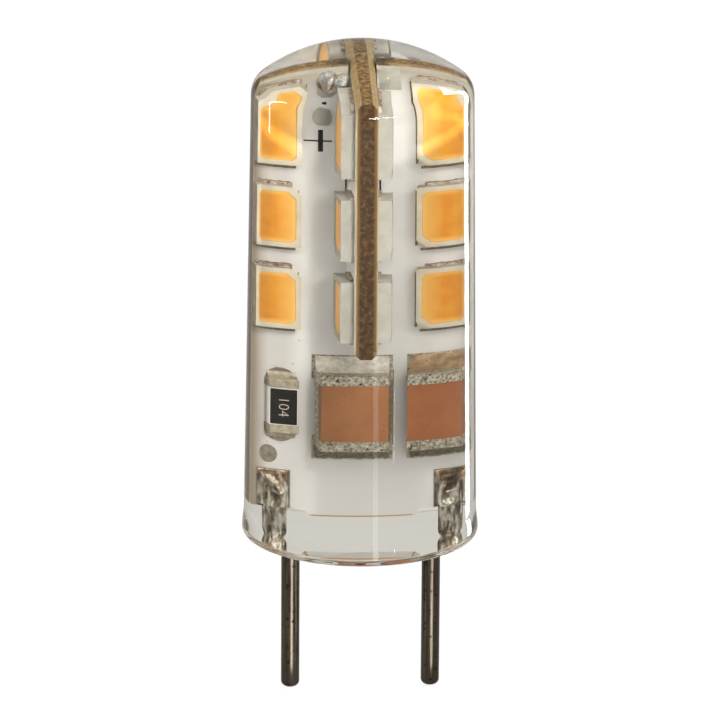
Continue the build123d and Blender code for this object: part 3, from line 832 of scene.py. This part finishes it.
def phosphor(face):
    """Orange phosphor gel, paler where it thins out at the rim of its window; painted light pales the main
    board's windows towards the inside and the cross board's windows all over.
    """
    material, tree, shader = new_finish("phosphor_" + face, 0.35, specular=0.1)
    main = face.startswith("main")
    place = axes(tree)
    near_rim = add_effect(tree, WINDOW, {
        "Across": place["X" if main else "Y"],
        "Middle": LAYOUT_MIDDLE if main else 0.0,
        "Column": LED_COLUMN if main else LED_OUT,
        "Height": place["Z"],
        "Lowest": LOWEST_LED,
    })
    shade = grain(tree, 0.9 * MM, 2.0)
    if main:
        body = tones(tree, shade, (189, 119, 31), (197, 138, 41))
        # painted light: the main board's windows pale towards the inside
        offset = away(tree, place["X"], LAYOUT_MIDDLE)
        inner = along(tree, offset, LED_COLUMN, LED_COLUMN - WINDOW_HALF_WIDTH)
        body = blend(tree, fade(tree, inner, 0.1, 1.0, 0.8), body, linear(212, 172, 92))
    else:
        # painted light: the cross board's windows in a paler copy of the phosphor
        body = tones(tree, shade, (222, 164, 84), (230, 180, 98))
    rim = fade(tree, near_rim, 0.8, 1.0)
    set_colour(tree, shader, blend(tree, rim, body, linear(212, 166, 84)))
    set_relief(tree, shader, grain(tree, 0.06 * MM), 0.004 * MM)
    return material


def bright_metal(name, dark, light, roughness, metallic, cloud_mm, relief_mm, depth_mm):
    """Tin, solder or plating: clouded, with a fine relief."""
    material, tree, shader = new_finish(name, roughness, metallic, specular=0.2)
    size = cloud_mm * MM
    cloud = tones(tree, grain(tree, size, 4.0), dark, light, 0.32, 0.68)
    pits = specks(tree, size / 3, 0.3, 0.3)
    set_colour(tree, shader, blend(tree, pits, cloud, linear(*dark)))
    set_range(tree, shader.inputs["Roughness"], grain(tree, size), roughness * 0.75, roughness * 1.3)
    set_relief(tree, shader, grain(tree, relief_mm * MM, 4.0), depth_mm * MM)
    return material


def capacitor_ceramic(name, dark, light):
    """Fired brown ceramic, faintly clouded and specked."""
    material, tree, shader = new_finish(name, 0.55, specular=0.1)
    cloud = tones(tree, grain(tree, 1.4 * MM, 4.0), dark, light)
    pits = specks(tree, 0.3 * MM, 0.12, 0.25)
    set_colour(tree, shader, blend(tree, pits, cloud, linear(94, 58, 36)))
    set_relief(tree, shader, grain(tree, 0.1 * MM, 4.0), 0.008 * MM)
    return material


def capacitor_side():
    """Side of a capacitor: brown ceramic in front, and mottled with flux towards the board."""
    material, tree, shader = new_finish("capacitor_side", 0.5, specular=0.1)
    mottle = tones(tree, grain(tree, 0.16 * MM, 4.0), (92, 80, 58), (196, 188, 168), 0.38, 0.62)
    ahead = add_math(tree, "LESS_THAN", axes(tree)["Y"], FRONT - 0.95 * MM)
    set_colour(tree, shader, blend(tree, ahead, mottle, linear(122, 80, 50)))
    set_relief(tree, shader, grain(tree, 0.1 * MM), 0.015 * MM)
    return material


def plain_finish(name, dark, light, spot, roughness, cloud_mm):
    """Ceramic, lacquer or moulding, clouded, specked and slightly rough."""
    material, tree, shader = new_finish(name, roughness, specular=0.15)
    size = cloud_mm * MM
    cloud = tones(tree, grain(tree, size, 4.0), dark, light)
    dots = specks(tree, size / 2, 0.1, 0.25)
    set_colour(tree, shader, blend(tree, dots, cloud, linear(*spot)))
    set_relief(tree, shader, grain(tree, size / 6), 0.008 * MM)
    return material


def pin_metal():
    """Drawn and tinned wire, polished along its length and wetted with solder inside the casting."""
    material, tree, shader = new_finish("pin_metal", 0.2, metallic=1.0)
    streaks = grain(tree, 0.15 * MM, 4.0, (1, 1, 0.05))
    wire = tones(tree, streaks, (74, 65, 54), (114, 105, 92))
    stain = specks(tree, 0.3 * MM, 0.25, 0.4)
    wire = blend(tree, stain, wire, linear(52, 42, 32))
    mottle = grain(tree, 0.5 * MM, 4.0, (1.6, 1, 0.5))
    wetted = ramp(tree, mottle, [
        (0.4, linear(66, 57, 44)), (0.5, linear(170, 160, 138)), (0.6, linear(240, 236, 224))])
    inside = add_math(tree, "GREATER_THAN", axes(tree)["Z"], BASE_RECESS)
    set_colour(tree, shader, blend(tree, inside, wire, wetted))
    set_range(tree, shader.inputs["Roughness"], streaks, 0.14, 0.28)
    lumps = add_math(tree, "MULTIPLY", add_math(tree, "MULTIPLY", mottle, inside), 30.0)
    set_relief(tree, shader, add_math(tree, "ADD", streaks, lumps), 0.004 * MM)
    return material


def pin_solder():
    """Bright solder over the pin's tail, showing copper where it thins out at the top of its land."""
    material, tree, shader = new_finish("pin_solder", 0.2, metallic=1.0)
    cloud = grain(tree, 0.8 * MM, 3.0, (1.4, 1, 0.6))
    metal = ramp(tree, cloud, [
        (0.4, linear(80, 72, 58)), (0.5, linear(176, 168, 148)), (0.6, linear(238, 234, 222))])
    rise = along(tree, axes(tree)["Z"], PIN_LAND_HIGH, PIN_LAND_HIGH + MM)
    patch = add_math(tree, "ADD", rise, add_math(tree, "MULTIPLY", grain(tree, 0.6 * MM), 2.4))
    copper = fade(tree, patch, 0.7, 1.0, 0.75)
    set_colour(tree, shader, blend(tree, copper, metal, linear(188, 150, 116)))
    set_range(tree, shader.inputs["Roughness"], cloud, 0.16, 0.3)
    set_relief(tree, shader, grain(tree, 0.35 * MM, 3.0), 0.05 * MM)
    return material


# Metals: dark and light tone, roughness, metallic, then in millimetres the size of the clouds and the
# size and depth of the relief
METALS = {
    "terminal_metal": ((104, 66, 42), (206, 196, 178), 0.38, 0.4, 0.3, 0.1, 0.01),
    "tinned_land": ((96, 87, 72), (136, 128, 112), 0.5, 0.3, 0.3, 0.08, 0.012),
    "spare_land": ((158, 155, 142), (174, 170, 157), 0.5, 0.3, 0.5, 0.1, 0.008),
    "stained_land": ((84, 72, 52), (196, 188, 166), 0.5, 0.3, 0.12, 0.08, 0.012),
    "solder": ((168, 160, 140), (232, 226, 210), 0.4, 0.6, 0.3, 0.14, 0.04),
    "bright_solder": ((186, 183, 174), (246, 245, 240), 0.2, 1.0, 0.5, 0.5, 0.02),
    "terminal_solder": ((78, 54, 36), (160, 145, 121), 0.4, 0.4, 0.22, 0.1, 0.02),
    "fillet_solder": ((182, 173, 150), (226, 221, 208), 0.45, 0.2, 0.4, 0.14, 0.02),
    # painted shade: a darker copy of the solder at the capacitors' lower ends
    "shaded_solder": ((66, 57, 42), (138, 128, 107), 0.45, 0.5, 0.14, 0.1, 0.03),
    "browned_solder": ((122, 97, 69), (170, 144, 109), 0.45, 0.2, 0.5, 0.14, 0.02),
    "plated_ends": ((76, 67, 50), (218, 209, 186), 0.34, 0.8, 0.16, 0.08, 0.03),
    "resistor_ends": ((130, 119, 97), (172, 161, 139), 0.45, 0.2, 0.3, 0.1, 0.012),
}

# Ceramic, lacquer, moulding, flux, which also paints shadow lines, and ink: dark, light and spot tone,
# roughness, size of cloud in millimetres
PLAIN_FINISHES = {
    "white_ceramic": ((216, 212, 200), (232, 229, 220), (190, 182, 164), 0.5, 0.5),
    "black_lacquer": ((12, 9, 6), (22, 18, 13), (52, 47, 39), 0.45, 0.4),
    "black_moulding": ((36, 35, 34), (52, 50, 48), (70, 68, 64), 0.55, 0.4),
    # this finish also paints the shadow lines beside the LED packages and the capacitors
    "flux": ((92, 74, 50), (138, 122, 96), (60, 46, 30), 0.4, 0.2),
    "digit_ink": ((166, 160, 144), (184, 178, 162), (140, 134, 118), 0.5, 0.2),
}

metals = {name: bright_metal(name, *values) for name, values in METALS.items()}
plain = {name: plain_finish(name, *values) for name, values in PLAIN_FINISHES.items()}


# Finishes put on the pieces

def give(piece, material):
    """Sets a piece's only finish."""
    piece.data.materials.clear()
    piece.data.materials.append(material)


def give_faces(piece, finishes, choose):
    """Sets several finishes on a piece; choose names the one that a face takes."""
    names = list(finishes)
    piece.data.materials.clear()
    for material in finishes.values():
        piece.data.materials.append(material)
    for face in piece.data.polygons:
        face.material_index = names.index(choose(face))


def board_finish(face, thin):
    """What a face of a board shows, by how it lies; thin is the axis of the board's thickness."""
    flat = abs(face.normal[thin])
    level = abs(face.normal.z)
    if flat > 0.95:
        return "mask"
    if flat > 0.3 and level > 0.3:
        return "bevel"
    if level > 0.95 and face.center.z > BOARD_TOP - 0.2 * MM:
        return "web"
    # faces turned to the back show the cross board's back edge in painted light
    return "lit_back_edge" if face.normal.y > 0.95 else "edge"


def main_board_finish(face):
    """What a face of the main board shows: its foot is masked, and so is its bevel in front."""
    if face.center.z < main_low.z + 0.9 * MM:
        return "mask"
    finish = board_finish(face, 1)
    return "masked_bevel" if finish == "bevel" and face.normal.y < 0 else finish


def cross_board_finish(face):
    """What a face of the cross board shows."""
    return board_finish(face, 0)


def led_finish(face):
    """What a face of an LED package on the main board shows; its side walls take a darker copy of the resin
    as painted shade.
    """
    facing = abs(face.normal.y)
    if facing > 0.97:
        return "rim"
    if facing > 0.3:
        return "cup"
    return "top" if face.normal.z > 0.5 else "wall"


def land_finish(face):
    """A spare land near the top, stained lands round the capacitors and tinned ones elsewhere."""
    if face.center.z > BOARD_TOP - 2.2 * MM:
        return "spare"
    beside = face.center.x > coat_high.x + 0.5 * MM
    return "stained" if beside and face.center.z > PIN_LAND_HIGH + 0.2 * MM else "tinned"


def capacitor_solder_finish(face):
    """Solder darkened by painted shade at the lower ends, browned at the right one's upper end and pale at
    the left one's.
    """
    if face.center.z < (fillet_low.z + fillet_high.z) / 2:
        return "shaded"
    return "browned" if face.center.x > right_capacitor_low.x + 0.1 * MM else "fillet"


def capacitor_finish(face):
    """The sides of a capacitor differ from the rest of it."""
    return "side" if abs(face.normal.x) > 0.9 else "body"


def dress_boards():
    """White mask on the boards' faces and brown fibreglass at their edges."""
    mask = board_mask()
    bevel = board_cut("board_bevel", (120, 97, 58), (158, 135, 90))
    # painted light: a pale copy of the cut fibreglass for the cross board's back edge
    lit_back_edge = board_cut("board_back_edge_painted_light", (192, 182, 158), (214, 206, 188))
    main = {
        "mask": mask,
        "edge": board_edge("main_edge", "Y", 0.0),
        "bevel": bevel,
        "web": board_web("main_web", True),
        "lit_back_edge": lit_back_edge,
        "masked_bevel": masked_bevel(),
    }
    cross = {
        "mask": mask,
        "edge": board_edge("cross_edge", "X", CROSS_MIDDLE),
        "bevel": bevel,
        "web": board_web("cross_web", False),
        "lit_back_edge": lit_back_edge,
    }
    give_faces(nodes["main_board"], main, main_board_finish)
    give_faces(nodes["cross_board"], cross, cross_board_finish)


def dress_leds():
    """Resin packages, with their phosphor and terminals."""
    # painted shade: the cross board's packages take a darker copy of the resin
    resin = led_resin("led_resin", (152, 148, 136), (166, 162, 151))
    finishes = {
        "rim": led_resin("led_rim", (178, 169, 147), (192, 184, 162)),
        # painted shade: the side walls of the packages in a darker copy of the resin
        "wall": led_resin("led_wall_painted_shade", (112, 98, 74), (136, 122, 98)),
        "cup": led_resin("led_cup", (200, 156, 84), (208, 168, 98)),
        "top": led_resin("led_top", (152, 145, 130), (170, 163, 148)),
    }
    for name in LED_NAMES:
        if "main" in name:
            give_faces(nodes[name], finishes, led_finish)
        else:
            give(nodes[name], resin)
    for face in FACES:
        give(nodes["phosphor_" + face], phosphor(face))
        give(nodes["led_terminals_" + face], metals["terminal_metal"])


def dress_lands():
    """Tinned lands on the boards, and other ones among those in front."""
    finishes = {label: metals[label + "_land"] for label in ("tinned", "spare", "stained")}
    give_faces(nodes["front_lands"], finishes, land_finish)
    for name in ("back_lands", "cross_lands"):
        give(nodes[name], metals["tinned_land"])


def dress_rectifier():
    """Black moulding with tinned leads."""
    give(nodes["rectifier"], plain["black_moulding"])
    give(nodes["rectifier_leads"], metals["tinned_land"])


def dress_capacitors():
    """Brown ceramic with mottled sides, plated ends and their solder."""
    solder = {label: metals[label + "_solder"] for label in ("fillet", "shaded", "browned")}
    give_faces(nodes["capacitor_solder"], solder, capacitor_solder_finish)
    side = capacitor_side()
    bodies = {
        "capacitor_left": capacitor_ceramic("brown_ceramic", (124, 80, 48), (138, 92, 57)),
        "capacitor_right": capacitor_ceramic("red_ceramic", (121, 72, 40), (133, 82, 48)),
    }
    for name, body in bodies.items():
        give_faces(nodes[name], {"body": body, "side": side}, capacitor_finish)
        give(nodes[name + "_ends"], metals["plated_ends"])


def dress_resistors():
    """White ceramic under a black coat, with tinned ends."""
    for side in ("front", "back"):
        give(nodes[side + "_resistor"], plain["white_ceramic"])
        give(nodes[side + "_resistor_coat"], plain["black_lacquer"])
        give(nodes[side + "_resistor_ends"], metals["resistor_ends"])
    give(nodes["resistor_solder"], metals["resistor_ends"])


def dress_pieces():
    """Pieces added here, each with its finish; returns the casting's skin."""
    skin = make_capsule()
    give(skin, clear_silicone())
    wire = pin_metal()
    for name in PINS:
        give(make_pin(name), wire)
    give(make_pin_solder(), pin_solder())
    give(make_joint_solder(), metals["bright_solder"])
    give(make_beads(), metals["solder"])
    for piece in make_led_solder():
        give(piece, metals["terminal_solder"])
    give(make_print(), plain["black_lacquer"])
    # dark lines, most of them painted shadow
    give(make_flux_and_shadow_lines(), plain["flux"])
    give(make_marking(), plain["digit_ink"])
    return skin


# Floor, light and camera

MIDDLE = Vector((0, 0, 12 * MM))
UPPER = Vector((0, 0, 23 * MM))
PALE_BACKDROP = linear(208, 206, 198)
DARK_ROOM = linear(104, 99, 90)
DIM_FLOOR = linear(150, 148, 144)
FLOOR_GLOW = 0.86  # the rest is lit paint, which takes the bulb's shadow


def seen_rays(tree, rays):
    """1 for rays that show the backdrop itself, straight or in glass and metal."""
    seen = add_math(tree, "MAXIMUM", rays.outputs["Is Camera Ray"], rays.outputs["Is Glossy Ray"])
    seen = add_math(tree, "MAXIMUM", seen, rays.outputs["Is Transmission Ray"])
    first = add_math(tree, "LESS_THAN", rays.outputs["Diffuse Depth"], 0.5)
    return add_math(tree, "MULTIPLY", seen, first)


def seen_light(tree, mirrored):
    """White to the eye, pale grey through the casting, dimmer in bare metal; mirrored for what is cast in."""
    rays = add_node(tree, "ShaderNodeLightPath")
    bare = blend(tree, rays.outputs["Is Glossy Ray"], (1, 1, 1, 1), DIM_FLOOR)
    bounced = add_math(tree, "GREATER_THAN", rays.outputs["Glossy Depth"], 0.5)
    through = blend(tree, bounced, PALE_BACKDROP, mirrored)
    return blend(tree, rays.outputs["Is Transmission Ray"], bare, through)


def behind_share(tree, depth, softness):
    """0 ahead of the bulb and 1 behind it."""
    node = add_node(tree, "ShaderNodeMapRange", {
        "Value": depth, "From Min": -softness, "From Max": softness}, interpolation_type="SMOOTHSTEP")
    return node.outputs["Result"]


def make_floor():
    """White floor under the pin tips that still takes the bulb's shadow."""
    shape = bmesh.new()
    bmesh.ops.create_grid(shape, x_segments=2, y_segments=2, size=2.0)
    floor = bpy.data.objects.new("floor", mesh_from("floor", shape))
    floor.location.z = pin_low.z
    bpy.context.scene.collection.objects.link(floor)
    material, tree, shader = new_finish("floor_white", 0.8, specular=0.1)
    shade = tones(tree, grain(tree, 60 * MM), (240, 240, 240), (248, 248, 248))
    rays = add_node(tree, "ShaderNodeLightPath")
    set_colour(tree, shader, blend(tree, rays.outputs["Is Diffuse Ray"], shade, DIM_FLOOR))
    behind = behind_share(tree, axes(tree)["Y"], 8 * MM)
    mirrored = blend(tree, behind, DARK_ROOM, PALE_BACKDROP)
    glow = add_node(tree, "ShaderNodeEmission", {"Color": seen_light(tree, mirrored)})
    share = add_math(tree, "MULTIPLY", seen_rays(tree, rays), FLOOR_GLOW)
    choice = add_node(tree, "ShaderNodeMixShader", {
        0: share, 1: shader.outputs["BSDF"], 2: glow.outputs["Emission"]})
    tree.links.new(choice.outputs["Shader"], tree.nodes["Material Output"].inputs["Surface"])
    give(floor, material)


def make_world():
    """White to the eye, and in glass and metal; softer as a light."""
    world = bpy.data.worlds.new("studio")
    bpy.context.scene.world = world
    world.use_nodes = True
    tree = world.node_tree
    tree.nodes.clear()
    rays = add_node(tree, "ShaderNodeLightPath")
    soft = add_node(tree, "ShaderNodeBackground", {"Color": (1, 1, 1, 1), "Strength": 0.6})
    place = axes(tree, "Generated")
    ahead = ramp(tree, place["Z"], [
        (0.05, DARK_ROOM), (0.35, linear(160, 157, 150)), (0.6, PALE_BACKDROP), (0.8, linear(250, 249, 246))])
    mirrored = blend(tree, behind_share(tree, place["Y"], 0.25), ahead, PALE_BACKDROP)
    shown = add_node(tree, "ShaderNodeBackground", {"Color": seen_light(tree, mirrored)})
    choice = add_node(tree, "ShaderNodeMixShader", {
        0: seen_rays(tree, rays), 1: soft.outputs[0], 2: shown.outputs[0]})
    add_node(tree, "ShaderNodeOutputWorld", {"Surface": choice.outputs[0]})
    world.cycles.sampling_method = "NONE"


def add_lamp(name, place, target, width, height, radiance, mirrored=False, spread=180):
    """A flat lamp turned to its target; a mirrored one only shows in gloss, the others only light."""
    data = bpy.data.lights.new(name, "AREA")
    data.shape = "RECTANGLE"
    data.size = width
    data.size_y = height
    data.energy = radiance * math.pi * width * height
    data.spread = math.radians(spread)
    data.cycles.use_multiple_importance_sampling = mirrored
    lamp = bpy.data.objects.new(name, data)
    lamp.location = place
    lamp.rotation_euler = (Vector(target) - Vector(place)).to_track_quat("-Z", "Y").to_euler()
    lamp.visible_camera = False
    lamp.visible_transmission = False
    lamp.visible_diffuse = not mirrored
    bpy.context.scene.collection.objects.link(lamp)
    return lamp


def around(azimuth, distance, height):
    """A point round the bulb, azimuth in degrees from the front to the right."""
    angle = math.radians(azimuth)
    return Vector((distance * math.sin(angle), -distance * math.cos(angle), height))


def add_card(name, start, end, width, radiance):
    """A narrow lamp from one point to another, turned to the bulb, that only shows in gloss."""
    middle = (start + end) / 2
    upward = (end - start).normalized()
    facing = Vector((0, 0, min(middle.z, BOARD_TOP))) - middle
    facing = (facing - upward * facing.dot(upward)).normalized()
    card = add_lamp(name, middle, (0, 0, 0), width, (end - start).length, radiance, True)
    turn = Matrix((upward.cross(-facing), upward, -facing)).transposed()
    card.rotation_euler = turn.to_euler()


def add_beam(name, middle, tilt, length, width, radiance):
    """A narrow beam onto the front of the main board, where the dome gathers light into a streak."""
    place = middle + Vector((0, -6 * MM, 0))
    beam = add_lamp(name, place, middle, length, width, radiance, spread=6)
    beam.rotation_euler = (math.radians(90), math.radians(-tilt), 0)


# Lamps: azimuth in degrees, distance and height, target, length of a side, radiance, spread in degrees
LAMPS = {
    "key_lamp": (10, 0.1, 0.085, UPPER, 0.014, 6.8, 40),
    "side_lamp": (36, 0.1, 0.085, UPPER, 0.018, 1.6, 40),
    "front_lamp": (9, 0.16, 0.07, UPPER, 0.03, 0.64, 24),
    "fill_panel": (-45, 0.6, 0.4, MIDDLE, 0.6, 0.8, 180),
    "back_right_panel": (125, 0.6, 0.45, MIDDLE, 0.6, 2.2, 180),
    "back_left_panel": (-125, 0.6, 0.45, MIDDLE, 0.6, 2.2, 180),
}

# Cards: azimuth in degrees, distance and height in millimetres of both ends, width in millimetres, radiance
CARDS = {
    "right_card": ((122, 36, -8.9), (122, 36.5, 27), 6.0, 9.0),
    "right_bar": ((122, 36.5, 26), (123, 27, 48.5), 4.0, 14.0),
    "left_card": ((-106.5, 36.8, 15.8), (-105.5, 37.8, 30), 1.6, 9.0),
    "left_bar": ((-105.5, 37.8, 29.5), (-90, 34, 42.5), 2.6, 20.0),
    "front_bar": ((2.5, 60, 33), (13, 60, 33), 7.0, 26.0),
    "front_bar_faint": ((16, 60, 34), (30.5, 60, 34), 3.0, 12.0),
    "front_card": ((10.2, 33.4, -8.8), (10.2, 33.4, 5), 2.7, 2.2),
    "front_card_thin": ((27, 34, -2.1), (27, 34, 2.4), 0.5, 8.0),
}

# Beams: place across and height in millimetres, tilt in degrees, length and width in millimetres, radiance
BEAMS = {
    "left_beam": (-4.0, 23.8, -30, 2.8, 0.35, 7.0),
    "right_beam": (3.6, 23.75, 30, 2.8, 0.25, 7.0),
    "right_beam_faint": (3.7, 24.95, -14, 2.6, 0.1, 5.0),
}


def make_lamps():
    """A small bright key above the front with two weaker lamps beside it, and soft panels round the bulb."""
    for name, (azimuth, distance, height, target, side, radiance, spread) in LAMPS.items():
        lamp = add_lamp(name, around(azimuth, distance, height), target, side, side, radiance, spread=spread)
        lamp.data.cycles.is_caustics_light = name == "key_lamp"


def make_highlights():
    """Cards that draw the highlights on the casting and the pins, and beams for the streaks on the LEDs."""
    for name, (start, end, width, radiance) in CARDS.items():
        start, end = (around(spot[0], spot[1] * MM, spot[2] * MM) for spot in (start, end))
        add_card(name, start, end, width * MM, radiance)
    for name in PINS:
        low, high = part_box(name)
        middle = Vector(((low.x + high.x) / 2, (low.y + high.y) / 2, low.z / 2))
        place = middle + around(13, 3.2 * MM, 0)
        add_lamp(name + "_card", place, middle, 1.3 * MM, -low.z - 0.2 * MM, 5.0, True)
    for name, (across, height, tilt, length, width, radiance) in BEAMS.items():
        middle = Vector((across * MM, left_led_low.y, height * MM))
        add_beam(name, middle, tilt, length * MM, width * MM, radiance)


def make_caustics(skin):
    """Lets the casting bend the key's light onto what is cast in."""
    skin.cycles.is_caustics_caster = True
    for name, node in nodes.items():
        if name != "capsule":
            node.cycles.is_caustics_receiver = True


def make_camera():
    """The photograph's long view from a little above and left of the front."""
    rise = math.radians(17.32)
    turn = math.radians(3.5)
    reach = 0.4
    data = bpy.data.cameras.new("camera")
    data.sensor_width = 36
    data.lens = 354.3
    camera = bpy.data.objects.new("camera", data)
    back = Vector((-math.sin(turn) * math.cos(rise), -math.cos(turn) * math.cos(rise), math.sin(rise)))
    camera.location = MIDDLE + reach * back
    aim = Vector((-0.05 * MM, 0, 10.11 * MM))
    look = (aim - camera.location).to_track_quat("-Z", "Y").to_matrix().to_4x4()
    roll = Matrix.Rotation(math.radians(0.375), 4, "Z")
    camera.matrix_world = Matrix.Translation(camera.location) @ look @ roll
    bpy.context.scene.collection.objects.link(camera)
    bpy.context.scene.camera = camera


def set_scene():
    """Plain colours, and enough bounces for the casting."""
    scene = bpy.context.scene
    scene.view_settings.view_transform = "Standard"
    scene.cycles.use_light_tree = False
    scene.cycles.max_bounces = 20
    scene.cycles.glossy_bounces = 10
    scene.cycles.transmission_bounces = 14


dress_boards()
dress_leds()
dress_lands()
dress_capacitors()
dress_resistors()
dress_rectifier()
casting = dress_pieces()
make_floor()
make_world()
make_lamps()
make_highlights()
make_caustics(casting)
make_camera()
set_scene()
